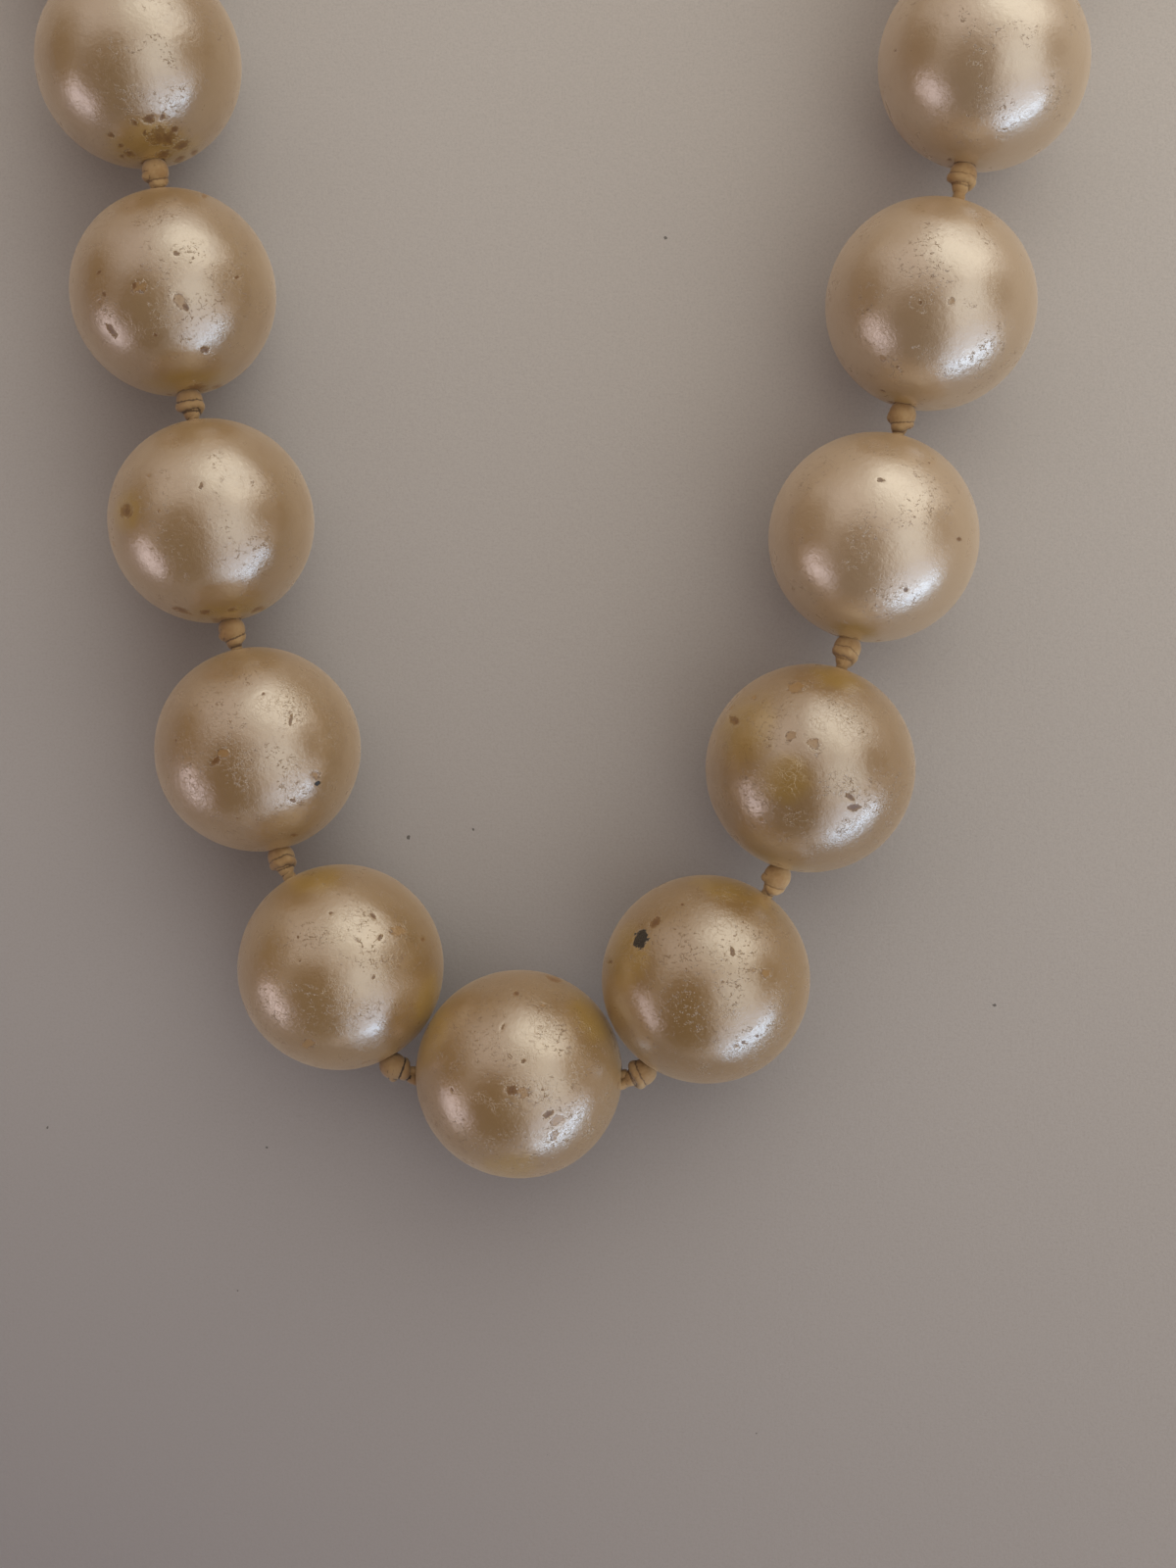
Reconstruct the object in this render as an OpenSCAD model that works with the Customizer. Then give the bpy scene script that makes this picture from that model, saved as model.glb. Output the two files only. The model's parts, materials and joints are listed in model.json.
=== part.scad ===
// Single strand of large round beads, knotted between every two, laid open on a table.
// The middle bead is at the bottom of the U. Two legs run up from it. The right leg ends
// in a lobster clasp and the left one in the flat tab that the clasp hooks into.

/* [Pearls] */
// Diameter of each pearl
pearl_d = 12; // [10:0.5:14]
// Diameter of the hole drilled through each pearl
hole_d = 1; // [0.8:0.1:1.4]
// Width of the worn chamfer at each mouth of the hole
mouth_chamfer = 0.15; // [0.05:0.05:0.3]

/* [Stringing] */
// Space between two pearls on a straight stretch, which the knot fills
knot_space = 1.7; // [1.4:0.1:2.2]
// Thickness of the stringing thread inside the pearls
thread_d = 0.6; // [0.4:0.05:0.7]
// Clearance between a knot and the pearls beside it
knot_clear = 0.03; // [0.02:0.01:0.06]
// Clearance between a knot and what starts at it
thread_clear = 0.05; // [0.03:0.01:0.08]

/* [End loops and jump rings] */
// Outside diameter of the bullion-covered thread loops
loop_wire = 0.8; // [0.7:0.05:0.9]
// Radius of the round end of a loop, along the middle of its wire
loop_r = 1.25; // [1.15:0.05:1.5]
// Length of a loop from its knot's centre to the middle of its wire at the far end
loop_len = 3.85; // [3.6:0.05:4.4]
// Radius of a jump ring along the middle of its wire
ring_r = 2.35; // [2.3:0.05:2.6]
// Diameter of a jump ring's wire
ring_wire = 0.8; // [0.7:0.05:0.9]
// Clearance where one link hangs in the next
link_clear = 0.1; // [0.06:0.02:0.2]

/* [Clasp] */
// Thickness of the clasp
clasp_t = 2.6; // [2.4:0.1:3.2]
// Radius of the claw along the middle of its arm
claw_r = 3; // [2.8:0.1:3.4]
// Width of the claw's arm
claw_w = 1.6; // [1.4:0.1:1.8]
// Diameter of the wire of the clasp's eye
eye_wire = 0.9; // [0.8:0.05:1]
// Radius of the hole in the clasp's eye
eye_hole_r = 1; // [0.95:0.05:1.2]
// Thickness of the lever
lever_t = 1.1; // [0.9:0.05:1.3]
// Clearance on each side of the lever in its slot
slot_clear = 0.1; // [0.06:0.02:0.2]
// Diameter of the pivot pin
pin_d = 0.9; // [0.7:0.05:1]
// Running clearance between the pin and the lever
pin_clear = 0.06; // [0.04:0.01:0.1]
// Thickness of each head of the pin
pin_head_t = 0.2; // [0.15:0.05:0.3]

/* [Catch tab] */
// Thickness of the tab
tab_t = 0.6; // [0.5:0.05:0.8]
// Diameter of the hole that the claw hooks into
catch_d = 3.5; // [3.4:0.1:4]
// Diameter of the hole for the jump ring
tab_hole_d = 2.5; // [2.4:0.1:2.7]
// Width of the metal round both holes
tab_rim = 0.9; // [0.8:0.05:1.1]
// Distance between the two holes' centres
tab_span = 5; // [4.8:0.1:6]

/* [Hidden] */
$fn = 48;
pearl_colour = "#e2cda8";
thread_colour = "#c9ab7c";
metal_colour = "#c9a552";
spring_colour = "#9c9c98";
// Length by which a cut runs out of what it cuts
cut_over = 1;

pearl_r = pearl_d / 2;
lift = pearl_r;
half_space = (pearl_d + knot_space) / 2;

// Lean of each stretch of a leg from straight up, away from the other leg, in degrees
left_leans = [30, 13, 11, 9, 9, 8, 7, 6, 5, 3, 2, 0];
right_leans = [35, 17, 13, 14, 10, 9, 8, 6, 5, 3, 2, 0];
// Slack that each knot leaves between its pearls, from the middle pearl outwards
left_slack = [0.3, 0.1, 0, 0, 0.1, 0, 0, 0.1, 0, 0, 0.1, 0];
right_slack = [0, 0, 0, 0, 0.4, 0.1, 0, 0, 0.1, 0, 0, 0];
side_count = len(left_leans);
// Turn of each knot about the thread, so that no two neighbours look alike
knot_turn_step = 137;
knot_turns = [for (i = [0 : side_count]) (i * knot_turn_step) % 360];

function two(i) = str(i < 10 ? "0" : "", i);
function unit(v) = v / norm(v);
function dir(a) = [cos(a), sin(a), 0];
function headings(leans, side) = [side > 0 ? 0 : 180, for (a = leans) 90 - side * a];
function reaches(slack) = [for (s = concat(slack, [0])) half_space + s / 2];
// Each pearl is half a space before the knot and half a space after it from the last one
function centres(h, reach) = [
    for (i = 0, c = [0, 0, 0]; i < len(h); i = i + 1,
        c = i < len(h) ? c + reach[i - 1] * (dir(h[i - 1]) + dir(h[i])) : c) c
];

left_headings = headings(left_leans, -1);
right_headings = headings(right_leans, 1);
left_reaches = reaches(left_slack);
right_reaches = reaches(right_slack);
left_centres = centres(left_headings, left_reaches);
right_centres = centres(right_headings, right_reaches);

// Knot: a thread of thickness 1 runs along x through the core, turns back round itself
// one and a half turns and leaves through the core, which makes an overhand knot
core_offset = 0.667;
wrap_radius = 1.723;
wrap_oval = 0.08;
wrap_half_length = 0.602;
wrap_bulge = 0.826;
wrap_ease = 0.518;
wrap_rise = 2.211;
core_reach = 2.583;
// Share of the core's reach over which the thread leaves the middle line
core_ease = 0.55;
wrap_rings = 26;
core_rings = 5;
// Sides of the swept thread and of the swept loops
thread_sides = 6;
loop_sides = 8;
// Radius of the ball that the whole knot fits in
knot_envelope = 2.6;
knot_r = knot_space / 2 - knot_clear;
knot_thread_d = knot_r / knot_envelope;

function ease(t) = let(u = min(max(t, 0), 1)) u * u * (3 - 2 * u);
function core_x(i) = -core_reach + (core_reach + wrap_half_length) * i / core_rings;
function core_point(i) = [core_x(i), core_offset * ease((core_x(i) / core_reach + 1) / core_ease), 0];
function wrap_point(s) =
    let(turn = 540 * s - wrap_ease * 270 / PI * sin(360 * s),
        far = wrap_radius + wrap_oval * cos(2 * turn),
        out = core_offset + (far - core_offset) * ease(wrap_rise * min(s, 1 - s)))
    [wrap_half_length * cos(180 * s) + wrap_bulge * sin(360 * s), out * cos(turn), out * sin(turn)];
knot_path = concat(
    [for (i = [0 : core_rings - 1]) core_point(i)],
    [for (k = [0 : wrap_rings]) wrap_point(k / wrap_rings)],
    [for (i = [core_rings - 1 : -1 : 0]) let(p = core_point(i)) [-p[0], -p[1], 0]]
);

// The knot's points about its own centre, turned about the thread
function knot_points(turn) = [
    for (p = knot_path) let(q = p * knot_thread_d)
        [q[0], q[1] * cos(turn) - q[2] * sin(turn), q[1] * sin(turn) + q[2] * cos(turn)]
];

// Sweep of a round section along points, with its own radius at each
function tangents(p) = [
    for (i = [0 : len(p) - 1]) unit(p[min(i + 1, len(p) - 1)] - p[max(i - 1, 0)])
];
function square_to(v, t) = unit(v - (v * t) * t);
function sides(t) = [
    for (i = 0, n = square_to(abs(t[0][2]) < 0.9 ? [0, 0, 1] : [1, 0, 0], t[0]); i < len(t);
        i = i + 1, n = i < len(t) ? square_to(n, t[i]) : n) n
];
module tube(p, r, steps) {
    t = tangents(p);
    n = sides(t);
    last = len(p) - 1;
    points = [
        for (i = [0 : last], k = [0 : steps - 1]) let(a = 360 * k / steps)
            p[i] + r[i] * (cos(a) * n[i] + sin(a) * cross(t[i], n[i]))
    ];
    walls = [
        for (i = [0 : last - 1], k = [0 : steps - 1], half = [0, 1])
            let(a = i * steps + k, b = i * steps + (k + 1) % steps)
                half == 0 ? [a, a + steps, b] : [b, a + steps, b + steps]
    ];
    start_cap = [for (k = [1 : steps - 2]) [0, k, k + 1]];
    end_cap = [for (k = [1 : steps - 2]) [last * steps, last * steps + k + 1, last * steps + k]];
    polyhedron(points = points, faces = concat(walls, start_cap, end_cap), convexity = 6);
}

// Length along the thread over which a knot draws it thinner, in thicknesses of thread
draw_in_share = 1.2;
draw_in = draw_in_share * thread_d;
function knot_radii(n) = [for (i = [0 : n - 1]) knot_thread_d / 2];

// Stretch of thread through one pearl, along x with the pearl's centre at 0, from just
// outside the inner knot to the front of the outer knot
module stretch(inner, outer, turn) {
    knot = [for (q = knot_points(turn)) q + [outer, 0, 0]];
    start = -inner + knot_r + thread_clear;
    plain = [[start, 0, 0], [0, 0, 0], [knot[0][0] - draw_in, 0, 0]];
    radii = concat([for (q = plain) thread_d / 2], knot_radii(len(knot)));
    tube(concat(plain, knot), radii, thread_sides);
}

// The middle stretch has a knot at both ends
module middle_stretch(inner, outer) {
    right = [for (q = knot_points(knot_turns[0])) q + [outer, 0, 0]];
    left = [for (q = knot_points(knot_turns[1])) [-q[0] - inner, -q[1], q[2]]];
    plain = [[left[0][0] + draw_in, 0, 0], [0, 0, 0], [right[0][0] - draw_in, 0, 0]];
    tube(
        concat([for (i = [len(left) - 1 : -1 : 0]) left[i]], plain, right),
        concat(knot_radii(len(left)), [for (q = plain) thread_d / 2], knot_radii(len(right))),
        thread_sides
    );
}

// Drilled along x, with a cone worn into each mouth of the hole
module drilled_pearl() {
    mouth_r = hole_d / 2 + mouth_chamfer;
    mouth_x = sqrt(pearl_r * pearl_r - mouth_r * mouth_r);
    rotate([0, 90, 0]) difference() {
        sphere(d = pearl_d);
        cylinder(d = hole_d, h = pearl_d + cut_over, center = true);
        for (end = [0, 180]) {
            rotate([end, 0, 0])
                translate([0, 0, mouth_x - mouth_chamfer])
                    cylinder(r1 = hole_d / 2, r2 = mouth_r + mouth_chamfer, h = 2 * mouth_chamfer);
        }
    }
}

module at(centre, heading) {
    translate(centre - origin + [0, 0, lift]) rotate([0, 0, heading]) children();
}

module pearl(centre, heading) {
    color(pearl_colour) at(centre, heading) drilled_pearl();
}

module cord(centre, heading, inner, outer, turn) {
    color(thread_colour) at(centre, heading) stretch(inner, outer, turn);
}

module middle_cord() {
    color(thread_colour) at([0, 0, 0], 0) middle_stretch(left_reaches[0], right_reaches[0]);
}

// An end, with x along the leg from the last knot's centre and z = 0 on the table.
// The loop hangs from the knot, a jump ring stands in the loop's plane of symmetry, and
// the clasp or the tab hangs in the ring.
ring_z = ring_r + ring_wire / 2;
loop_hang = ring_r - ring_wire / 2 - loop_wire / 2 - link_clear;
loop_hang_angle = 135;
loop_end_z = ring_z + loop_hang * sin(loop_hang_angle);
loop_tilt = asin((lift - loop_end_z) / loop_len);
loop_end_x = loop_len * cos(loop_tilt);
ring_x = loop_end_x - loop_hang * cos(loop_hang_angle);

module end_of(centres, h, reach) {
    translate(centres[side_count] - origin)
        rotate([0, 0, h[side_count]])
            translate([reach[side_count], 0, 0]) children();
}
module right_end() {
    end_of(right_centres, right_headings, right_reaches) children();
}
module left_end() {
    end_of(left_centres, left_headings, left_reaches) children();
}

// Thread loop covered with fine coiled wire: two legs from the knot and a round end
loop_leg_space = 0.44;
loop_leg_y = (loop_wire + loop_leg_space) / 2;
loop_end_gap = 0.15;
loop_start = knot_r + thread_clear + loop_end_gap;
loop_arc_start = 125;
loop_arc_steps = 16;
loop_path = concat(
    [[loop_start, loop_leg_y, 0]],
    [
        for (k = [0 : loop_arc_steps]) let(a = loop_arc_start * (1 - 2 * k / loop_arc_steps))
            [loop_len - loop_r + loop_r * cos(a), loop_r * sin(a), 0]
    ],
    [[loop_start, -loop_leg_y, 0]]
);
module end_loop() {
    color(metal_colour)
        translate([0, 0, lift])
            rotate([0, loop_tilt, 0])
                tube(loop_path, [for (p = loop_path) loop_wire / 2], loop_sides);
}

// A jump ring is closed up to a fine cut
ring_cut = 1.5;
module jump_ring() {
    color(metal_colour)
        translate([ring_x, 0, ring_z])
            rotate([90, 0, 0])
                rotate([0, 0, ring_cut / 2])
                    rotate_extrude(angle = 360 - ring_cut)
                        translate([ring_r, 0]) circle(d = ring_wire, $fn = 32);
}

// Clasp, with x along it from the centre of its eye and z from its middle
clasp_z = clasp_t / 2 + pin_head_t;
eye_hang = ring_r - ring_wire / 2 - eye_wire / 2 - link_clear;
eye_rim_x = ring_x + sqrt(eye_hang * eye_hang - pow(ring_z - clasp_z, 2));
eye_x = eye_rim_x + eye_wire / 2 + eye_hole_r;
claw_x = 9;
claw_end_angle = 45;
claw_root_angle = -150;
pivot = [4.6, 0.9];
boss_r = 1.3;
// The cheeks cover the lever's boss, a little off the pivot, and run into a neck at the eye
cheek_shift = [0.6, 0.3];
cheek_cover = 0.1;
neck_d = 1.8;
neck_inset = 0.3;
// The lever's slot runs through the neck, and wider where the gate swings into the claw
slot_x = 2.2;
slot_end_x = 6.3;
gate_mouth_x = 7;
slot_reach = 4;
clasp_tip_x = eye_x + claw_x + claw_r + claw_w / 2;

module pill(d, h) {
    cylinder(d = d, h = h - d, center = true, $fn = 32);
    for (z = [-1, 1]) translate([0, 0, z * (h - d) / 2]) sphere(d = d, $fn = 32);
}
module claw_section() {
    square([claw_w, clasp_t - claw_w], center = true);
    for (y = [-1, 1]) translate([0, y * (clasp_t - claw_w) / 2]) circle(d = claw_w, $fn = 32);
}
module claw() {
    translate([claw_x, 0, 0]) {
        rotate([0, 0, claw_root_angle])
            rotate_extrude(angle = claw_end_angle - claw_root_angle) translate([claw_r, 0]) claw_section();
        rotate([0, 0, claw_end_angle]) translate([claw_r, 0, 0]) pill(claw_w, clasp_t);
    }
}
module clasp_cheeks() {
    root = [claw_x + claw_r * cos(claw_root_angle), claw_r * sin(claw_root_angle), 0];
    hull() {
        translate(root) pill(claw_w, clasp_t);
        translate(pivot + cheek_shift)
            cylinder(r = boss_r + cheek_cover, h = clasp_t, center = true, $fn = 32);
        translate([eye_hole_r + eye_wire + neck_inset, 0, 0]) pill(neck_d, clasp_t);
    }
}
module clasp_body() {
    color(metal_colour) translate([eye_x, 0, clasp_z]) difference() {
        union() {
            rotate_extrude() translate([eye_hole_r + eye_wire / 2, 0]) circle(d = eye_wire, $fn = 32);
            claw();
            clasp_cheeks();
        }
        linear_extrude(height = lever_t + 2 * slot_clear, center = true) {
            translate([slot_x, -slot_reach]) square([slot_end_x - slot_x, 2 * slot_reach]);
            translate([slot_x, 0]) square([gate_mouth_x - slot_x, slot_reach]);
        }
        translate(pivot) cylinder(d = pin_d, h = clasp_t + cut_over, center = true);
    }
}
pin_head_rim = 0.35;
module clasp_pin() {
    color(spring_colour) translate([eye_x, 0, clasp_z]) translate(pivot) {
        cylinder(d = pin_d, h = clasp_t, center = true);
        for (z = [-1, 1]) translate([0, 0, z * (clasp_t + pin_head_t) / 2])
            cylinder(d = pin_d + 2 * pin_head_rim, h = pin_head_t, center = true);
    }
}

// Gate and thumb tab of the lever: x, y and radius of each round spot along them
root_r = 1.1;
root_spot = [pivot[0], pivot[1], root_r];
gate = [root_spot, [6.2, 1.95, 0.62], [7.6, 2.5, 0.58], [8.9, 2.25, 0.5], [10.1, 1.4, 0.4]];
thumb = [root_spot, [4.35, -1.6, 0.6], [4.1, -3.4, 0.75]];
// Outline of round spots, each joined to the next, with the inner corners filleted
fillet_r = 0.25;
module limb(spots) {
    for (i = [0 : len(spots) - 2]) {
        hull() {
            for (p = [spots[i], spots[i + 1]]) translate([p[0], p[1]]) circle(r = p[2], $fn = 32);
        }
    }
}
module clasp_lever() {
    color(metal_colour) translate([eye_x, 0, clasp_z]) difference() {
        linear_extrude(height = lever_t, center = true)
            offset(r = -fillet_r) offset(r = fillet_r) {
                translate(pivot) circle(r = boss_r);
                limb(gate);
                limb(thumb);
            }
        translate(pivot)
            cylinder(d = pin_d + 2 * pin_clear, h = lever_t + cut_over, center = true);
    }
}

// Leaf spring hugging the back of the lever's boss, with its tail in the neck of the clasp
leaf_t = 0.15;
leaf_clear = 0.05;
leaf_side_clear = 0.1;
// The tail lies this far below the pivot and runs into the leaf by this much
tail_drop = 0.3;
tail_join = 0.08;
module clasp_spring() {
    r = boss_r + leaf_clear;
    tail_y = pivot[1] - tail_drop;
    leaf_x = pivot[0] - r - leaf_t;
    color(spring_colour) translate([eye_x, 0, clasp_z])
        linear_extrude(height = lever_t - 2 * leaf_side_clear, center = true) {
            translate(pivot) intersection() {
                difference() {
                    circle(r = r + leaf_t);
                    circle(r = r);
                }
                translate([-2 * r, 0]) square(2 * r);
            }
            translate([slot_x, tail_y]) square([leaf_x - slot_x + tail_join, leaf_t]);
            translate([leaf_x, tail_y]) square([leaf_t, tail_drop + leaf_clear]);
        }
}

// Catch tab: its inner end hangs in the jump ring and its outer end rests on the table
rim_hang = ring_r - ring_wire / 2 - norm([tab_rim, tab_t]) / 2 - link_clear;
rim_angle = -85;
rim_x = ring_x + rim_hang * cos(rim_angle);
rim_z = ring_z + rim_hang * sin(rim_angle);
tab_hole_x = (tab_rim + tab_hole_d) / 2;
tab_end = tab_hole_x + tab_span + catch_d / 2 + tab_rim;
tab_tilt = asin(rim_z / norm([tab_end, tab_t / 2])) - atan(tab_t / 2 / tab_end);
module catch_tab() {
    color(metal_colour)
        translate([rim_x, 0, rim_z])
            rotate([0, tab_tilt, 0])
                linear_extrude(height = tab_t, center = true) difference() {
                    limb([
                        [tab_hole_x, 0, tab_hole_d / 2 + tab_rim],
                        [tab_hole_x + tab_span, 0, catch_d / 2 + tab_rim]
                    ]);
                    translate([tab_hole_x, 0]) circle(d = tab_hole_d);
                    translate([tab_hole_x + tab_span, 0]) circle(d = catch_d);
                }
}

// Everything stands on z = 0, with the origin under the middle of the outline
low_x = left_centres[side_count][0] - pearl_r;
high_x = right_centres[side_count][0] + pearl_r;
low_y = -pearl_r;
high_y = right_centres[side_count][1] + right_reaches[side_count] + clasp_tip_x;
origin = [(low_x + high_x) / 2, (low_y + high_y) / 2, 0];

pearl([0, 0, 0], 0);  // pearl_middle
middle_cord();  // cord_middle
for (i = [1 : side_count]) {
    pearl(left_centres[i], left_headings[i]);
    pearl(right_centres[i], right_headings[i]);
    cord(left_centres[i], left_headings[i], left_reaches[i - 1], left_reaches[i], knot_turns[i]);
    cord(right_centres[i], right_headings[i], right_reaches[i - 1], right_reaches[i], 90 + knot_turns[i]);
}
left_end() end_loop();  // end_loop_left
right_end() end_loop();  // end_loop_right
left_end() jump_ring();  // jump_ring_left
right_end() jump_ring();  // jump_ring_right
right_end() clasp_body();
right_end() clasp_lever();
right_end() clasp_pin();
right_end() clasp_spring();
left_end() catch_tab();
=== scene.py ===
import json
import math
import bpy
import numpy as np
from mathutils import Matrix, Vector


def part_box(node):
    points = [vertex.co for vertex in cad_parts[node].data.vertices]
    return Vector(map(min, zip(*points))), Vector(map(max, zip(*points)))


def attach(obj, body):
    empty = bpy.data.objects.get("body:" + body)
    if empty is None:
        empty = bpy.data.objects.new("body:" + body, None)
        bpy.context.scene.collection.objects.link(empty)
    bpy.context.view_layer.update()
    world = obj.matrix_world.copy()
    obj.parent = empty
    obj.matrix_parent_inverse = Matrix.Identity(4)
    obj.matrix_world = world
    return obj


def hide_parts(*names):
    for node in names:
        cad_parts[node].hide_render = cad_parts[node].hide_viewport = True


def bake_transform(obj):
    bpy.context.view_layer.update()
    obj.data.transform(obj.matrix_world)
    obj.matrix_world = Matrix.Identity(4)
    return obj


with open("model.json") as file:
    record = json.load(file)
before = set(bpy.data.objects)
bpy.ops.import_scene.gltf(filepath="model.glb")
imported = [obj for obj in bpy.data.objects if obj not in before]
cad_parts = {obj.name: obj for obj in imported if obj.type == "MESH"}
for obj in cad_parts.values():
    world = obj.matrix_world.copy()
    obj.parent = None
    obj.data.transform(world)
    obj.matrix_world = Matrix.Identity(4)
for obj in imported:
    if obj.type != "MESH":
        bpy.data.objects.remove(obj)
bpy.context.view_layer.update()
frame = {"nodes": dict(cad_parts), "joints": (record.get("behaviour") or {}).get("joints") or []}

MM = 0.001
SIDES = ("left", "right")
SIDE_COUNT = 12
# Where the photo was taken from, in millimetres
CAMERA_PLACE = np.array([10.983, -70.402, 120.886])
joints = {j["name"]: j for j in frame["joints"]}


def mm(v):
    """A position of the frame, in millimetres."""
    return np.array(v, float) / MM


def unit(v):
    v = np.array(v, float)
    return v / np.linalg.norm(v)


def smooth(t):
    t = np.clip(t, 0.0, 1.0)
    return t * t * (3 - 2 * t)


def linear(r, g, b):
    """sRGB values of 0 to 255 as a linear colour."""
    out = []
    for c in (r, g, b):
        c = c / 255
        out.append(c / 12.92 if c <= 0.04045 else ((c + 0.055) / 1.055) ** 2.4)
    return (*out, 1.0)


# ---------------------------------------------------------------- the strand's layout

def pearl_name(side, i):
    return "pearl_middle" if i == 0 else f"pearl_{side}_{i:02d}"


def cord_name(side, i):
    return "cord_middle" if i == 0 else f"cord_{side}_{i:02d}"


def cord_body(side, i):
    return "middle" if i == 0 else f"cord_{side}_{i:02d}"


def centre_of(node):
    low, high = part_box(node)
    return (mm(low) + mm(high)) / 2


PEARL_R = max(mm(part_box("pearl_middle")[1]) - mm(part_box("pearl_middle")[0])) / 2
HOLE_R = 0.5
MOUTH_R = 0.65

bore_axis = {"pearl_middle": np.array([1.0, 0.0, 0.0])}
knot_centre = {}
for side in SIDES:
    for i in range(1, SIDE_COUNT + 1):
        bore_axis[pearl_name(side, i)] = unit(joints[f"spin_{side}_{i:02d}"]["axis"])
        knot_centre[side, i] = mm(joints[f"knot_{side}_{i:02d}"]["pos_m"])
    knot_centre[side, SIDE_COUNT + 1] = mm(joints[f"loop_{side}"]["pos_m"])


# ---------------------------------------------------------------- mesh helpers

def build_mesh(name, points, quads, tris=(), values=None):
    """Object from points in millimetres and faces, with its named point values."""
    quads = np.asarray(quads, dtype=np.int32).reshape(-1, 4)
    tris = np.asarray(tris, dtype=np.int32).reshape(-1, 3)
    corners = np.concatenate([quads.ravel(), tris.ravel()])
    sizes = np.concatenate([np.full(len(quads), 4), np.full(len(tris), 3)])
    mesh = bpy.data.meshes.new(name)
    mesh.vertices.add(len(points))
    mesh.vertices.foreach_set("co", (np.asarray(points) * MM).astype(np.float32).ravel())
    mesh.loops.add(len(corners))
    mesh.loops.foreach_set("vertex_index", corners)
    mesh.polygons.add(len(sizes))
    mesh.polygons.foreach_set("loop_start", (np.cumsum(sizes) - sizes).astype(np.int32))
    for key, value in (values or {}).items():
        layer = mesh.attributes.new(key, "FLOAT", "POINT")
        layer.data.foreach_set("value", np.asarray(value, dtype=np.float32))
    mesh.update(calc_edges=True)
    mesh.validate()
    mesh.shade_smooth()
    obj = bpy.data.objects.new(name, mesh)
    bpy.context.scene.collection.objects.link(obj)
    return obj


def grid_faces(rings, segments, wrap_rings=False):
    """Quads between rings of points, each ring closed on itself."""
    last = rings if wrap_rings else rings - 1
    a = np.arange(last)[:, None]
    b = (a + 1) % rings
    k = np.arange(segments)[None, :]
    after = (k + 1) % segments
    a, b = a * segments, b * segments
    return np.stack([a + k, b + k, b + after, a + after], axis=-1).reshape(-1, 4)


WAVE_COUNT = 7
WAVE_STRETCH = (0.7, 1.4)
WAVE_SHIFT = 6.28
WAVE_GAIN = 1.2


def waves(points, scale, seed):
    """Smooth noise of about -1 to 1: a sum of waves in random directions."""
    rng = np.random.RandomState(seed)
    total = np.zeros(len(points))
    for _ in range(WAVE_COUNT):
        along = points @ unit(rng.randn(3)) * 2 * math.pi / scale
        total += np.sin(along * rng.uniform(*WAVE_STRETCH) + rng.uniform(0, WAVE_SHIFT))
    return total / math.sqrt(WAVE_COUNT) / WAVE_GAIN


def frames_along(path):
    """Two unit vectors across the path at each point, turned as little as can be."""
    t = np.gradient(path, axis=0)
    t /= np.linalg.norm(t, axis=1)[:, None]
    first = np.array([0, 0, 1.0]) if abs(t[0][2]) < 0.9 else np.array([1.0, 0, 0])
    normal = unit(first - first.dot(t[0]) * t[0])
    across = []
    for k in range(len(path)):
        normal = unit(normal - normal.dot(t[k]) * t[k])
        across.append(normal.copy())
    across = np.array(across)
    return across, np.cross(t, across)


def lengths_along(path):
    return np.r_[0, np.cumsum(np.linalg.norm(np.diff(path, axis=0), axis=1))]


def resample(path, step):
    """A smooth curve through the points, as points a step apart, and their places along it."""
    path = np.asarray(path, float)
    ext = np.vstack([2 * path[0] - path[1], path, 2 * path[-1] - path[-2]])
    out = []
    for k in range(1, len(ext) - 2):
        p0, p1, p2, p3 = ext[k - 1:k + 3]
        count = max(2, int(np.linalg.norm(p2 - p1) / step * 2))
        for u in np.arange(count) / count:
            square = (2 * p0 - 5 * p1 + 4 * p2 - p3) * u * u
            cube = (3 * p1 - p0 - 3 * p2 + p3) * u ** 3
            out.append(0.5 * (2 * p1 + (p2 - p0) * u + square + cube))
    out.append(path[-1])
    out = np.array(out)
    run = lengths_along(out)
    at = np.linspace(0, run[-1], max(3, int(run[-1] / step)))
    return np.stack([np.interp(at, run, out[:, k]) for k in range(3)], axis=1), at


PLIES = 3


def tube(path, radius, segments, ply_depth=0.0, lay=1.0):
    """Points and faces of a tube along a path; its plies twist round it, a turn in each lay."""
    n, b = frames_along(path)
    a = np.arange(segments) / segments * 2 * math.pi
    r = np.broadcast_to(np.asarray(radius, float), (len(path),))[:, None] * np.ones((1, segments))
    if ply_depth:
        twist = lengths_along(path)[:, None] / lay * 2 * math.pi
        crown = np.abs(np.cos((a[None, :] - twist) * PLIES / 2)) ** 0.7
        r = r * (1 - ply_depth * (0.5 - crown))
    ring = n[:, None, :] * np.cos(a)[None, :, None] + b[:, None, :] * np.sin(a)[None, :, None]
    points = path[:, None, :] + ring * r[:, :, None]
    count = len(path) * segments
    points = np.vstack([points.reshape(-1, 3), path[0], path[-1]])
    k = np.arange(segments)
    after = (k + 1) % segments
    last = (len(path) - 1) * segments
    start_cap = np.stack([np.full(segments, count), k, after], axis=1)
    end_cap = np.stack([np.full(segments, count + 1), last + after, last + k], axis=1)
    return points, grid_faces(len(path), segments), np.vstack([start_cap, end_cap])


# ---------------------------------------------------------------- node graph helper

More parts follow.
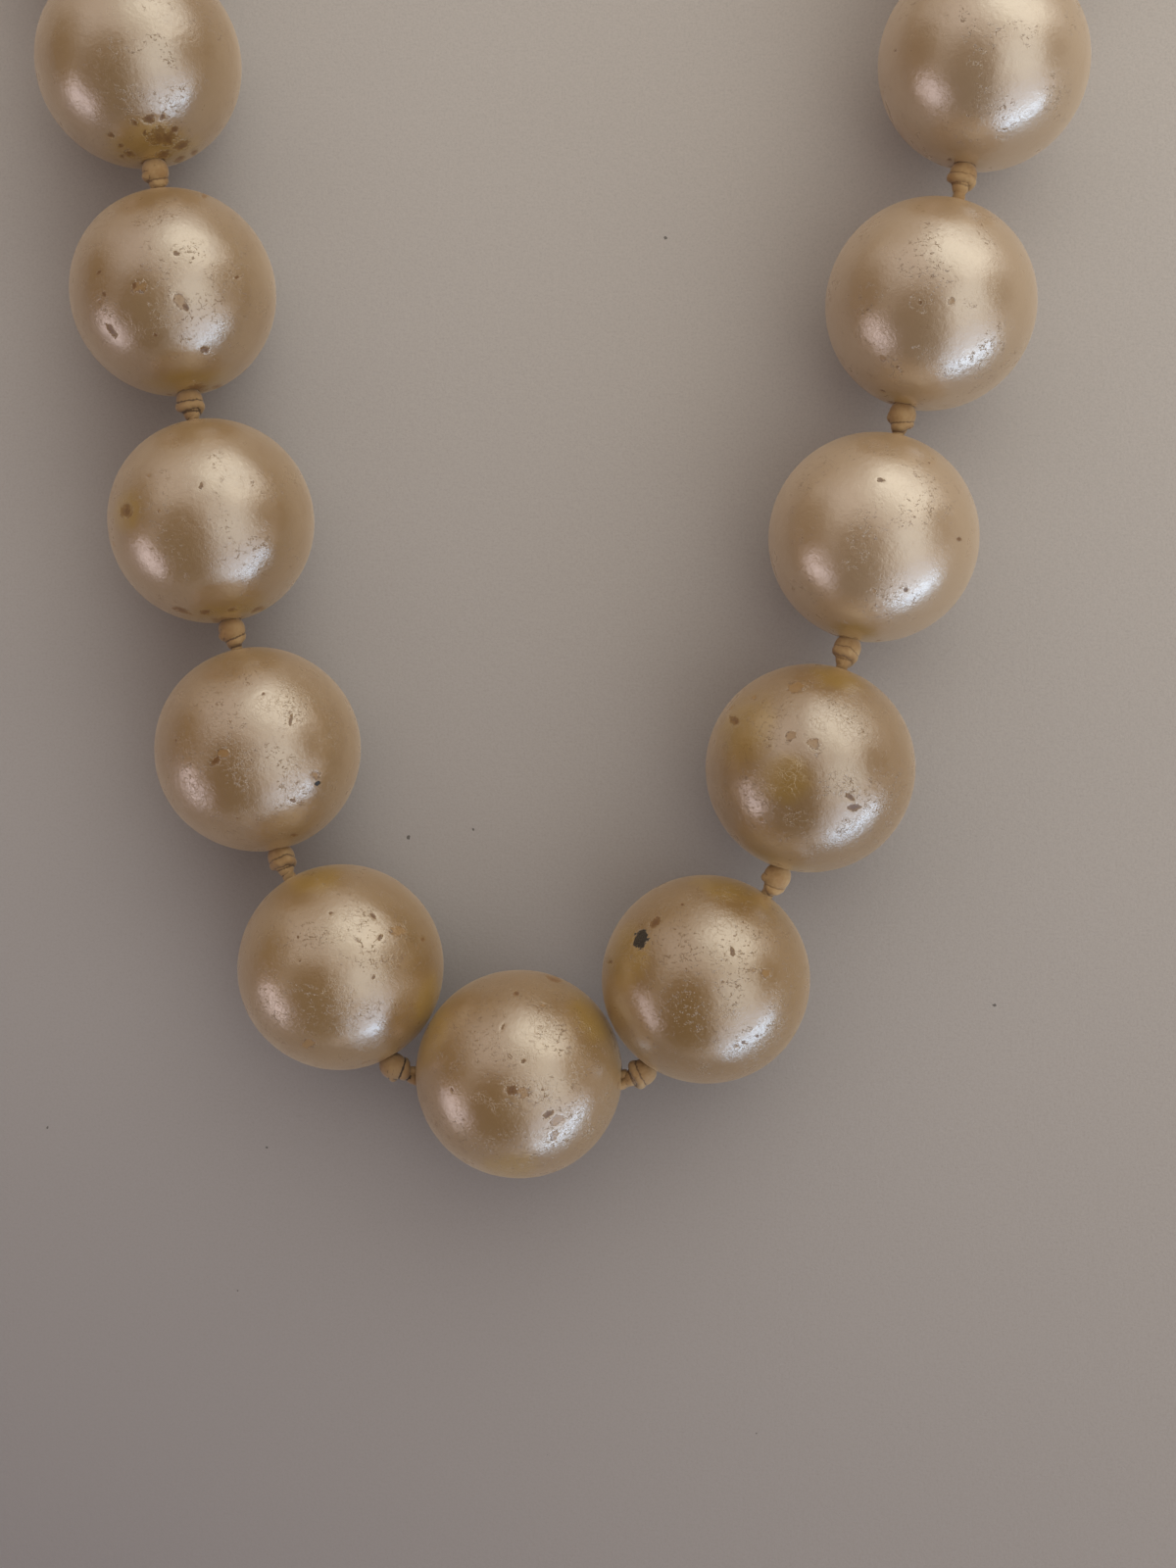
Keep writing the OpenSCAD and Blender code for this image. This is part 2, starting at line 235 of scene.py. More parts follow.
class Graph:
    """Makes the nodes of a new material, or of the tree it is given."""

    def __init__(self, name, tree=None):
        if tree is None:
            self.material = bpy.data.materials.new(name)
            self.material.use_nodes = True
            tree = self.material.node_tree
        self.tree = tree
        tree.nodes.clear()

    def node(self, kind, **values):
        made = self.tree.nodes.new(kind)
        for key, value in values.items():
            setattr(made, key, value)
        return made

    def link(self, source, target):
        self.tree.links.new(source, target)

    def put(self, socket, value):
        """A link if value is a socket, and otherwise a plain value."""
        if isinstance(value, bpy.types.NodeSocket):
            self.link(value, socket)
        else:
            socket.default_value = value

    def math(self, op, a, b):
        made = self.node("ShaderNodeMath", operation=op)
        self.put(made.inputs[0], a)
        self.put(made.inputs[1], b)
        return made.outputs[0]

    def plus(self, a, b):
        return self.math("ADD", a, b)

    def minus(self, a, b):
        return self.math("SUBTRACT", a, b)

    def times(self, a, b):
        return self.math("MULTIPLY", a, b)

    def most(self, a, b):
        return self.math("MAXIMUM", a, b)

    def step(self, value, low, high, out_low=0.0, out_high=1.0):
        """Smooth step from one value to another as the input goes from low to high."""
        made = self.node("ShaderNodeMapRange", interpolation_type="SMOOTHSTEP")
        for k, v in enumerate((value, low, high, out_low, out_high)):
            self.put(made.inputs[k], v)
        return made.outputs[0]

    def ramp(self, value, low, high):
        """Straight ramp of 0 to 1 as the input goes from low to high."""
        made = self.node("ShaderNodeMapRange")
        for k, v in enumerate((value, low, high, 0.0, 1.0)):
            self.put(made.inputs[k], v)
        return made.outputs[0]

    def along(self, vector, axis):
        made = self.node("ShaderNodeVectorMath", operation="DOT_PRODUCT")
        self.link(vector, made.inputs[0])
        made.inputs[1].default_value = axis
        return made.outputs["Value"]

    def mix(self, factor, a, b):
        made = self.node("ShaderNodeMix", data_type="RGBA")
        self.put(made.inputs[0], factor)
        self.put(made.inputs[6], a)
        self.put(made.inputs[7], b)
        return made.outputs[2]

    def noise(self, vector, scale, detail, rough, distortion=0.0, output="Fac"):
        made = self.node("ShaderNodeTexNoise")
        self.put(made.inputs["Vector"], vector)
        made.inputs["Scale"].default_value = scale
        made.inputs["Detail"].default_value = detail
        made.inputs["Roughness"].default_value = rough
        made.inputs["Distortion"].default_value = distortion
        return made.outputs[output]

    def cells(self, vector, scale, feature="F1"):
        made = self.node("ShaderNodeTexVoronoi", feature=feature)
        self.put(made.inputs["Vector"], vector)
        made.inputs["Scale"].default_value = scale
        return made

    def place(self, stretch=(1, 1, 1)):
        """Place on the piece, in millimetres."""
        coordinates = self.node("ShaderNodeTexCoord")
        scaled = self.node("ShaderNodeMapping")
        self.link(coordinates.outputs["Object"], scaled.inputs["Vector"])
        scaled.inputs["Scale"].default_value = [s / MM for s in stretch]
        return scaled.outputs[0]

    def value_of(self, name):
        return self.node("ShaderNodeAttribute", attribute_name=name).outputs["Fac"]

    def bump(self, height, distance, strength, normal=None):
        """Bump of a height of 0 to 1 that stands for a distance in millimetres."""
        made = self.node("ShaderNodeBump")
        made.inputs["Strength"].default_value = strength
        made.inputs["Distance"].default_value = distance * MM
        self.link(height, made.inputs["Height"])
        if normal is not None:
            self.link(normal, made.inputs["Normal"])
        return made.outputs[0]

    def surface(self, **values):
        made = self.node("ShaderNodeBsdfPrincipled")
        for key, value in values.items():
            self.put(made.inputs[key.replace("_", " ")], value)
        out = self.node("ShaderNodeOutputMaterial")
        self.link(made.outputs[0], out.inputs[0])


# ---------------------------------------------------------------- pearls

# Marks seen on single pearls: leg, pearl, where it is on the pearl's disc in the photo (x right,
# y up, in radii), its radius in millimetres, its kind, how much longer than wide it is, its slant.
# A chip, brown dirt and black have an edge, and gold is a soft golden stain
MARKS = [
    ("middle", 0, -0.07, -0.15, 0.30, "brown", 1.4, 20),
    ("middle", 0, 0.04, -0.16, 0.34, "chip", 1.2, 0),
    ("middle", 0, 0.04, 0.11, 0.12, "brown", 1.5, 30),
    ("middle", 0, 0.27, -0.38, 0.16, "brown", 2.2, 40),
    ("middle", 0, 0.36, -0.43, 0.26, "chip", 1.6, 20),
    ("middle", 0, 0.33, -0.58, 0.22, "chip", 1.3, 70),
    ("middle", 0, -0.03, 0.75, 0.14, "brown", 1.6, 0),
    ("middle", 0, 0.33, 0.90, 0.16, "brown", 3.0, -25),
    ("middle", 0, 0.22, -0.15, 0.08, "brown", 1.5, 0),
    ("middle", 0, -0.16, 0.42, 0.10, "brown", 2.5, 60),
    ("right", 1, -0.61, 0.37, 0.42, "black", 1.15, 65),
    ("right", 1, -0.47, 0.52, 0.20, "brown", 2.0, 45),
    ("right", 1, -0.90, 0.15, 0.12, "brown", 1.2, 0),
    ("right", 1, -0.22, 0.69, 0.08, "brown", 1.0, 0),
    ("right", 1, 0.24, 0.26, 0.10, "brown", 3.0, 100),
    ("right", 1, 0.56, 0.06, 0.26, "chip", 1.2, 0),
    ("right", 1, 0.35, -0.58, 0.10, "brown", 1.2, 0),
    ("right", 1, 0.48, -0.52, 0.08, "brown", 1.0, 0),
    ("right", 2, -0.71, 0.45, 0.22, "brown", 1.6, -50),
    ("right", 2, 0.04, 0.22, 0.26, "chip", 1.4, -30),
    ("right", 2, -0.18, 0.30, 0.24, "chip", 1.3, 10),
    ("right", 2, 0.36, -0.26, 0.16, "brown", 2.0, -40),
    ("right", 2, 0.40, -0.36, 0.16, "brown", 2.2, 10),
    ("right", 2, -0.13, 0.75, 0.30, "chip", 1.8, 10),
    ("right", 3, 0.07, 0.52, 0.12, "brown", 1.8, -20),
    ("right", 3, 0.30, -0.48, 0.10, "brown", 1.2, 0),
    ("right", 4, 0.18, 0.02, 0.14, "chip", 1.5, 60),
    ("right", 4, -0.30, -0.55, 0.10, "brown", 1.5, 0),
    ("left", 1, 0.53, 0.34, 0.34, "chip", 1.2, 0),
    ("left", 1, 0.30, 0.47, 0.10, "brown", 2.4, -45),
    ("left", 1, 0.36, 0.27, 0.12, "brown", 1.8, 50),
    ("left", 1, 0.77, 0.26, 0.12, "brown", 1.3, 0),
    ("left", 1, -0.40, 0.28, 0.08, "brown", 1.0, 0),
    ("left", 1, -0.10, 0.50, 0.08, "brown", 1.4, 0),
    ("left", 1, 0.30, -0.10, 0.10, "brown", 1.6, 70),
    ("left", 1, -0.30, -0.72, 0.26, "chip", 1.5, 10),
    ("left", 2, -0.40, -0.12, 0.18, "brown", 2.0, 35),
    ("left", 2, -0.32, -0.04, 0.26, "chip", 1.4, 20),
    ("left", 2, 0.56, -0.32, 0.12, "black", 1.6, 20),
    ("left", 2, 0.53, -0.24, 0.22, "chip", 1.2, 0),
    ("left", 2, 0.30, 0.28, 0.10, "brown", 3.0, 80),
    ("left", 2, 0.33, -0.48, 0.10, "brown", 1.6, 0),
    ("left", 2, 0.04, 0.52, 0.08, "brown", 1.0, 0),
    ("left", 2, 0.34, -0.82, 0.10, "brown", 2.0, 0),
    ("left", 3, -0.80, 0.08, 0.34, "brown", 1.2, 60),
    ("left", 3, -0.10, 0.33, 0.12, "brown", 1.6, 70),
    ("left", 3, -0.28, -0.86, 0.16, "brown", 3.4, -15),
    ("left", 3, 0.45, -0.84, 0.16, "brown", 2.4, 20),
    ("left", 3, 0.12, -0.95, 0.20, "brown", 3.0, 0),
    ("left", 3, 0.20, -0.84, 0.14, "brown", 2.2, 10),
    ("left", 3, -0.05, -0.87, 0.15, "brown", 2.4, 5),
    ("left", 4, -0.30, 0.04, 0.36, "chip", 1.3, 10),
    ("left", 4, 0.07, -0.07, 0.30, "chip", 1.8, -50),
    ("left", 4, 0.11, -0.12, 0.12, "brown", 2.0, -60),
    ("left", 4, -0.36, 0.05, 0.12, "brown", 1.8, 80),
    ("left", 4, -0.57, -0.38, 0.16, "brown", 3.0, -55),
    ("left", 4, 0.30, -0.51, 0.18, "brown", 1.2, 0),
    ("left", 4, 0.02, 0.36, 0.14, "brown", 1.3, 0),
    ("left", 4, 0.29, 0.93, 0.14, "brown", 1.4, 0),
    ("left", 4, 0.60, 0.18, 0.10, "brown", 2.4, 20),
    ("left", 4, 0.22, -0.90, 0.34, "brown", 1.8, 10),
    ("left", 4, 0.42, -0.88, 0.12, "brown", 2.4, 15),
    ("left", 5, 0.10, -0.50, 0.24, "brown", 1.9, 12),
    ("left", 5, -0.04, -0.54, 0.15, "brown", 1.5, -30),
    ("left", 5, 0.22, -0.47, 0.13, "brown", 1.6, 60),
    ("left", 5, 0.33, -0.58, 0.17, "brown", 1.4, 40),
    ("left", 5, 0.30, -0.70, 0.12, "brown", 1.5, 100),
    ("left", 5, -0.26, -0.68, 0.15, "brown", 1.6, -25),
    ("left", 5, -0.17, -0.77, 0.11, "brown", 1.3, 0),
    ("left", 5, 0.06, -0.63, 0.10, "brown", 2.0, 80),
    ("left", 5, 0.22, -0.66, 0.50, "brown", 1.6, -10),
    ("left", 5, 0.42, -0.72, 0.30, "brown", 1.5, 25),
    ("left", 5, 0.25, -0.82, 0.22, "brown", 2.0, 15),
    ("left", 5, 0.40, -0.87, 0.18, "brown", 1.8, 30),
    ("left", 5, -0.08, -0.84, 0.20, "brown", 1.6, -20),
    ("left", 5, 0.54, -0.80, 0.14, "brown", 1.6, 45),
    ("left", 5, 0.10, -0.91, 0.16, "brown", 2.2, 0),
    ("left", 5, 0.10, -0.75, 2.2, "gold", 1.5, 5),
    ("left", 4, 0.22, -0.92, 1.5, "gold", 1.6, 10),
    ("left", 3, 0.10, -0.95, 1.4, "gold", 1.9, 0),
    ("left", 3, -0.80, 0.08, 1.2, "gold", 1.5, 80),
    ("left", 1, -0.25, 0.85, 1.3, "gold", 1.8, 15),
    ("left", 1, 0.85, -0.35, 1.4, "gold", 1.7, 70),
    ("middle", 0, 0.70, 0.55, 1.7, "gold", 1.5, -45),
    ("middle", 0, -0.85, 0.35, 1.4, "gold", 1.8, 70),
    ("middle", 0, -0.10, -0.88, 1.2, "gold", 1.9, 0),
    ("right", 1, -0.75, 0.20, 2.0, "gold", 1.4, 80),
    ("right", 1, 0.15, 0.90, 1.4, "gold", 1.8, -15),
    ("right", 2, -0.60, 0.35, 2.4, "gold", 1.3, 60),
    ("right", 2, -0.20, -0.10, 2.0, "gold", 1.1, 0),
    ("right", 2, 0.25, 0.88, 1.3, "gold", 1.8, -20),
    ("right", 3, -0.20, -0.92, 1.2, "gold", 1.9, -10),
    ("right", 4, -0.35, -0.90, 1.1, "gold", 1.9, -20),
]
# Golden stain of some holes towards the viewer: leg, pearl, end of the bore, strength
STAINS = {("left", 5, -1): 1.0, ("left", 4, -1): 0.8, ("left", 3, -1): 0.9, ("left", 2, -1): 0.4,
          ("right", 1, 1): 0.5, ("right", 2, 1): 0.5, ("right", 2, -1): 0.7, ("right", 3, 1): 0.4,
          ("right", 4, -1): 0.3, ("left", 1, 1): 0.5}
OTHER_STAIN = 0.25
# Strength of a gold mark, and where it ends, in its radii
GOLD_STRENGTH = 0.75
GOLD_END = 1.15
# Angles from the bore at which its stain has gone, and over which it fades
STAIN_END = 42
STAIN_FADE = 34
WORN = {"pearl_middle": 1.0, "pearl_right_01": 0.95, "pearl_right_02": 0.9, "pearl_left_01": 0.9,
        "pearl_left_02": 0.9, "pearl_left_03": 0.5, "pearl_right_03": 0.45, "pearl_left_04": 0.55,
        "pearl_right_04": 0.4, "pearl_left_05": 0.5, "pearl_right_05": 0.35}
OTHER_WORN = 0.6
# Paler (above 0) or more golden (below 0) than the rest; the paler tone of the three right-hand pearls is
# partly painted light, for the stronger light they get from the right
TONE_AND_LIGHT = {"pearl_left_03": 0.1, "pearl_left_01": -0.6, "pearl_middle": -0.5, "pearl_right_01": -0.95,
        "pearl_right_02": -0.5, "pearl_right_03": 0.85, "pearl_right_04": 0.8, "pearl_right_05": 0.95}
# The tone that would be wholly the paler or the golden colour
TONE_SPAN = 1.5
# Distance, in a mark's radii, that a place far from every mark has
FAR = 4.0
CHIP_DEPTH = 0.025
# Where a mark's hollow ends and over what it fades, in its radii
CHIP_END = 1.3
CHIP_FADE = 0.6
# Depth and width of the dents that leave a pearl a little out of round
DENTS = ((0.012, 7.0), (0.003, 1.7))
# Worn mouth of the bore: how deep inside it, and how much wider than the bore
LIP = ((0.05, 0.07), (0.13, 0.01), (0.3, 0.0))
# How deep the plain rings of the bore start, and how many there are
BORE_START = 1.2
BORE_RINGS = 6
# Small random marks: how many, how many of them at the holes, how far these spread, their radii
SMALL_MARKS = 18
MARKS_AT_HOLES = 10
HOLE_SPREAD = 0.15
HOLE_MARK_R = (0.08, 0.18)
OTHER_MARK_R = (0.06, 0.14)


def disc_axes(centre):
    """Right, up and towards the camera, as it sees a pearl."""
    toward = unit(CAMERA_PLACE - centre)
    right = unit(np.cross([0, 1.0, 0], toward))
    return right, np.cross(toward, right), toward


def oval(across, up, radius, longer, slant):
    """How far places are from an oval mark's middle, in its own radii."""
    c, s = math.cos(math.radians(slant)), math.sin(math.radians(slant))
    return np.hypot((c * across + s * up) / longer, c * up - s * across) / radius


def mark_fields(name, centre, axis, dirs, rng):
    """For each kind of mark, how far each point is from the nearest one, in that mark's radii."""
    fields = {kind: np.full(len(dirs), FAR) for kind in ("chip", "brown", "black", "gold")}

    def add(kind, near, facing):
        fields[kind] = np.minimum(fields[kind], np.where(facing > 0, near, FAR))

    right, up, toward = disc_axes(centre)
    for side, i, x, y, radius, kind, longer, slant in MARKS:
        if name == ("pearl_middle" if side == "middle" else pearl_name(side, i)):
            across, above = (dirs @ right - x) * PEARL_R, (dirs @ up - y) * PEARL_R
            add(kind, oval(across, above, radius, longer, slant), dirs @ toward)
    for k in range(SMALL_MARKS):
        if k < MARKS_AT_HOLES:
            middle = unit(rng.choice([-1, 1]) * axis + rng.randn(3) * HOLE_SPREAD)
            radius, kind = rng.uniform(*HOLE_MARK_R), "brown"
        else:
            middle = unit(rng.randn(3))
            radius, kind = rng.uniform(*OTHER_MARK_R), rng.choice(["chip", "brown"])
        t1 = unit(np.array([1.0, 0, 0]) - middle[0] * middle + 1e-6)
        t2 = np.cross(middle, t1)
        longer, slant = rng.uniform(1, 2), rng.uniform(0, 180)
        near = oval(dirs @ t1 * PEARL_R, dirs @ t2 * PEARL_R, radius, longer, slant)
        add(kind, near, dirs @ middle)
    return fields


def pearl_profile(rings):
    """Section of a drilled pearl, as places along the bore and distances from it, which runs
    over the outside, round one worn mouth, back through the bore and round the other mouth."""
    start = math.asin(MOUTH_R / PEARL_R)
    polar = np.linspace(start, math.pi - start, rings)
    outside = [(PEARL_R * math.cos(a), PEARL_R * math.sin(a)) for a in polar]
    mouth = PEARL_R * math.cos(start)
    lip = [(mouth - deep, HOLE_R + wider) for deep, wider in LIP]
    bore = [(x, HOLE_R) for x in np.linspace(mouth - BORE_START, -mouth + BORE_START, BORE_RINGS)]
    far_lip = [(-x, r) for x, r in lip]
    return np.array(outside + far_lip + bore[::-1] + lip[::-1])


def stain_of(name, axis, dirs, gold):
    """Golden stain, 0 to 1: round the holes and where a gold mark is."""
    side = "left" if "left" in name else "right"
    i = 0 if name == "pearl_middle" else int(name[-2:])
    stain = np.zeros(len(dirs))
    for end in (-1, 1):
        strength = STAINS.get((side, i, end), OTHER_STAIN)
        angle = np.degrees(np.arccos(np.clip(dirs @ (axis * end), -1, 1)))
        stain = np.maximum(stain, strength * smooth((STAIN_END - angle) / STAIN_FADE))
    return np.maximum(stain, GOLD_STRENGTH * smooth(GOLD_END - gold))


def pearl_mesh(name, seed, rings, segments):
    """A drilled pearl, a little out of round, with its marks kept as smooth fields."""
    centre = centre_of(name)
    axis = bore_axis[name]
    u = unit(np.cross([0, 0, 1.0], axis))
    v = np.cross(axis, u)
    section = pearl_profile(rings)
    a = np.arange(segments) / segments * 2 * math.pi
    ring = np.cos(a)[None, :, None] * u + np.sin(a)[None, :, None] * v
    points = section[:, 0, None, None] * axis + section[:, 1, None, None] * ring
    points = points.reshape(-1, 3)
    outer = np.zeros(len(section))
    outer[:rings] = 1
    outer = np.repeat(outer, segments)
    dirs = points / np.linalg.norm(points, axis=1)[:, None]

    fields = mark_fields(name, centre, axis, dirs, np.random.RandomState(seed))
    depth = np.zeros(len(points))
    for k, (deep, wide) in enumerate(DENTS):
        depth += deep * (1 + waves(points, wide, seed + k))
    depth += CHIP_DEPTH * smooth((CHIP_END - np.minimum(fields["chip"], fields["brown"])) / CHIP_FADE)
    points -= dirs * (depth * outer)[:, None]

    stain = stain_of(name, axis, dirs, fields.pop("gold"))
    values = {**fields,
              "stain": np.maximum(stain * outer, 1 - outer),
              "worn": np.full(len(points), WORN.get(name, OTHER_WORN)),
              "pearl_tone_and_light": np.full(len(points), TONE_AND_LIGHT.get(name, 0.0)),
              "bore": 1 - outer}
    faces = grid_faces(len(section), segments, True)[:, ::-1]
    return build_mesh("worn_" + name, points + centre, faces, values=values)


PEARL_TINT = linear(152, 117, 73)
PEARL_PALE = linear(162, 129, 87)
PEARL_DEEP = linear(140, 103, 57)
# Paler tone, which on the right-hand pearls is partly painted light
PALER_TONE_AND_LIGHT = linear(196, 166, 130)
GOLDEN_TONE = linear(144, 106, 44)
GOLD_STAIN = linear(166, 129, 58)
PIT_TINT = linear(108, 68, 26)
CHIP_TINT = linear(150, 104, 46)
CHIP_RIM_TINT = linear(88, 56, 24)
BROWN_TINT = linear(100, 58, 12)
BLACK_TINT = linear(7, 6, 5)
BORE_TINT = linear(104, 78, 48)
PEARL_SHEEN = linear(244, 208, 168)
PEARL_BUMP = 0.06


def pearl_ground(g, p, mottle):
    """Champagne tint in clouds, with each pearl's own tone, partly painted light on the right-hand pearls,
    and the golden stain.
    """
    cloud = g.noise(p, 0.11, 2.0, 0.5)
    tint = g.mix(g.step(cloud, 0.38, 0.64), PEARL_TINT, PEARL_PALE)
    tint = g.mix(g.times(g.step(mottle, 0.45, 0.75), 0.4), tint, PEARL_DEEP)
    pearl_tone_and_light = g.value_of("pearl_tone_and_light")
    # Paler tone, partly painted light on the right-hand pearls
    tint = g.mix(g.step(pearl_tone_and_light, 0.0, TONE_SPAN), tint, PALER_TONE_AND_LIGHT)
    tint = g.mix(g.step(pearl_tone_and_light, 0.0, -TONE_SPAN), tint, GOLDEN_TONE)
    gold = g.plus(g.value_of("stain"), g.times(g.minus(mottle, 0.5), 0.9))
    return g.mix(g.times(g.step(gold, 0.10, 0.72), 0.95), tint, GOLD_STAIN)


def pearl_pits(g, p, warped, worn, fine):
    """Short cracks, pinholes, dots and flecks, mostly in patches."""
    patch = g.step(g.plus(g.noise(p, 0.36, 2.0, 0.5), g.times(worn, 0.14)), 0.57, 0.66)
    crack = g.cells(warped, 1.4, "DISTANCE_TO_EDGE").outputs["Distance"]
    broken = g.step(g.noise(p, 2.2, 4.0, 0.65), 0.53, 0.58)
    cracks = g.times(g.times(g.step(crack, 0.030, 0.010), patch), broken)
    pin = g.cells(p, 1.15)
    rarest = g.minus(1.02, g.times(worn, 0.5))
    pin_r = g.times(g.step(pin.outputs["Color"], rarest, 1.0), 0.10)
    pins = g.math("LESS_THAN", g.plus(pin.outputs["Distance"], g.times(fine, 0.06)), pin_r)
    dot = g.cells(p, 2.6)
    dot_r = g.times(g.step(dot.outputs["Color"], 0.70, 1.0), 0.14)
    dots = g.times(g.math("LESS_THAN", dot.outputs["Distance"], dot_r), patch)
    fleck = g.step(g.noise(g.place(stretch=(1.0, 1.7, 1.0)), 3.3, 4.0, 0.75), 0.600, 0.650)
    flecks = g.times(fleck, g.step(patch, 0.0, 1.0, 0.1, 1.0))
    return g.most(g.most(cracks, g.most(pins, dots)), g.times(flecks, 0.8))


def pearl_marks(g, p, tint):
    """Tint with the marks in it, and how bare the lacquer is there. A mark is inside its own
    radius, with a ragged edge, and a chip has a darker rim."""
    ragged = g.plus(g.times(g.noise(p, 4.5, 3.0, 0.65), 1.7), -0.85)
    coarse = g.plus(g.times(g.noise(p, 1.6, 2.0, 0.5), 1.6), -0.8)
    edge = g.plus(ragged, coarse)

    def inside(kind, soft):
        near = g.plus(g.value_of(kind), edge)
        return near, g.step(near, 1.0 + soft, 1.0 - soft)

    chip_near, chips = inside("chip", 0.12)
    brown_near, browns = inside("brown", 0.12)
    _, blacks = inside("black", 0.06)
    bore = g.value_of("bore")
    tint = g.mix(g.times(chips, 0.35), tint, CHIP_TINT)
    chip_rim = g.times(chips, g.step(chip_near, 0.55, 1.0))
    faint = g.step(g.noise(p, 1.9, 2.0, 0.5), 0.42, 0.58, 0.1, 0.75)
    tint = g.mix(g.times(chip_rim, faint), tint, CHIP_RIM_TINT)
    tint = g.mix(g.times(browns, g.step(brown_near, 1.1, 0.2, 0.45, 0.90)), tint, BROWN_TINT)
    tint = g.mix(blacks, tint, BLACK_TINT)
    tint = g.mix(bore, tint, BORE_TINT)
    bare = g.most(g.most(g.times(chips, 0.6), g.times(browns, 0.85)), g.most(blacks, bore))
    return tint, bare, blacks


def pearl_relief(g, p, warped, worn, fine, mottle, matt):
    """Height of the lacquer: uneven, sunk at the marks and crazed where it is worn."""
    craze = g.cells(warped, 3.1, "DISTANCE_TO_EDGE").outputs["Distance"]
    crazed = g.times(g.step(craze, 0.07, 0.0), g.step(g.noise(p, 0.5, 3.0, 0.6), 0.44, 0.60))
    height = g.times(fine, 0.36)
    height = g.minus(height, g.times(matt, 0.6))
    height = g.minus(height, g.times(g.times(crazed, worn), 0.13))
    height = g.plus(height, g.times(mottle, 0.45))
    height = g.plus(height, g.times(g.noise(p, 1.5, 3.0, 0.6), 0.30))
    return g.plus(height, g.times(g.noise(p, 0.30, 1.0, 0.4), 0.9))


def pearl_material():
    """Champagne imitation pearl: satin pearl essence under a thin clear lacquer."""
    g = Graph("pearl lacquer")
    p = g.place()
    worn = g.value_of("worn")
    mottle = g.noise(p, 0.55, 4.0, 0.6, 0.4)
    fine = g.noise(p, 3.2, 4.0, 0.65)
    warp = g.node("ShaderNodeVectorMath", operation="MULTIPLY_ADD")
    g.link(g.noise(p, 1.3, 3.0, 0.6, output="Color"), warp.inputs[0])
    warp.inputs[1].default_value = (1.3, 1.3, 1.3)
    g.link(p, warp.inputs[2])
    warped = warp.outputs[0]

    tint = pearl_ground(g, p, mottle)
    pits = pearl_pits(g, p, warped, worn, fine)
    tint = g.mix(g.times(pits, 0.6), tint, PIT_TINT)
    tint, bare, blacks = pearl_marks(g, p, tint)
    matt = g.most(bare, g.times(pits, 0.7))
    rough = g.plus(g.step(mottle, 0.3, 0.8, 0.27, 0.37), g.times(matt, 0.2))
    rough = g.minus(rough, g.times(blacks, 0.2))
    height = pearl_relief(g, p, warped, worn, fine, mottle, matt)
    normal = g.bump(height, PEARL_BUMP, 0.8)
    g.surface(Base_Color=tint, Metallic=g.step(matt, 0.0, 1.0, 0.30, 0.0), Roughness=rough,
              Normal=normal, Coat_Weight=g.step(matt, 0.0, 1.0, 1.0, 0.1), Coat_Roughness=0.26,
              Coat_IOR=2.2, Coat_Normal=normal, Diffuse_Roughness=0.8, Sheen_Weight=0.36,
              Sheen_Roughness=0.50, Sheen_Tint=PEARL_SHEEN)
    return g.material


# Pearls of each leg that the photo shows, which have the finer mesh of rings and segments
SHOWN = 5
FINE_MESH = (240, 320)
COARSE_MESH = (84, 112)
# Where the pearls' random draws start, and their step from pearl to pearl
PEARL_SEED = 100
PEARL_SEED_STEP = 17


def make_pearl(node, seed, look):
    """One pearl, with the finer mesh where the photo shows it."""
    near_camera = node == "pearl_middle" or int(node[-2:]) <= SHOWN
    mesh_size = FINE_MESH if near_camera else COARSE_MESH
    obj = pearl_mesh(node, seed, *mesh_size)
    obj.data.materials.append(look)
    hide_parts(node)
    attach(obj, node)


# ---------------------------------------------------------------- knots

# Overhand knot of a thread of thickness 1, as in the part's source
KNOT = dict(core_offset=0.667, radius=1.723, oval=0.08, half=0.602, bulge=0.826, ease=0.518,
            rise=2.211, reach=2.583, core_ease=0.55)
WRAP_RINGS = 40
CORE_RINGS = 7
THREAD_R = 0.29
NECK_R = 0.33
# Millimetres to the knot's unit, its stretch along the thread and its shift towards the pearl
KNOT_SCALE = 0.32
KNOT_STRETCH = 1.12
KNOT_SHIFT = 0.08
# Space between two pearls at a knot without slack
KNOT_SPACE = 1.7
# Slant of the turns, and how much and over what length the knot narrows away from the pearl
KNOT_LEAN = 0.35
LEAN_END = 1.2
LEAN_FADE = 0.6
KNOT_TAPER = 0.24
TAPER_LENGTH = 0.7
# How far and on what scale the tied thread wanders
WANDER = 0.06
WANDER_SCALE = 0.9
KNOT_PLY_DEPTH = 0.07
KNOT_SEGMENTS = 20
KNOT_STEP = 0.05
# How much wider or flatter one kind of knot is than another, and where their random draws start
KNOT_WIDTHS = (0.95, 1.08)
KNOT_SEED = 40
KNOT_VOXEL = 0.035
# Middle and radii of the egg that fills the knot, and of the one where it narrows
FILLERS = (((0.34, 0, 0), (0.86, 0.79, 0.79)), ((-0.28, 0, 0), (0.60, 0.50, 0.50)))
# Ends of the thread that a knot is made with, before and past its centre
TAIL = (-1.5, -1.0, 1.1)
# Turn of each kind of knot that shows its slanting bight to the viewer, and how much it varies
KNOT_FACE = (2.8, 4.1, 2.5, 3.5)
FACE_VARIES = 0.5


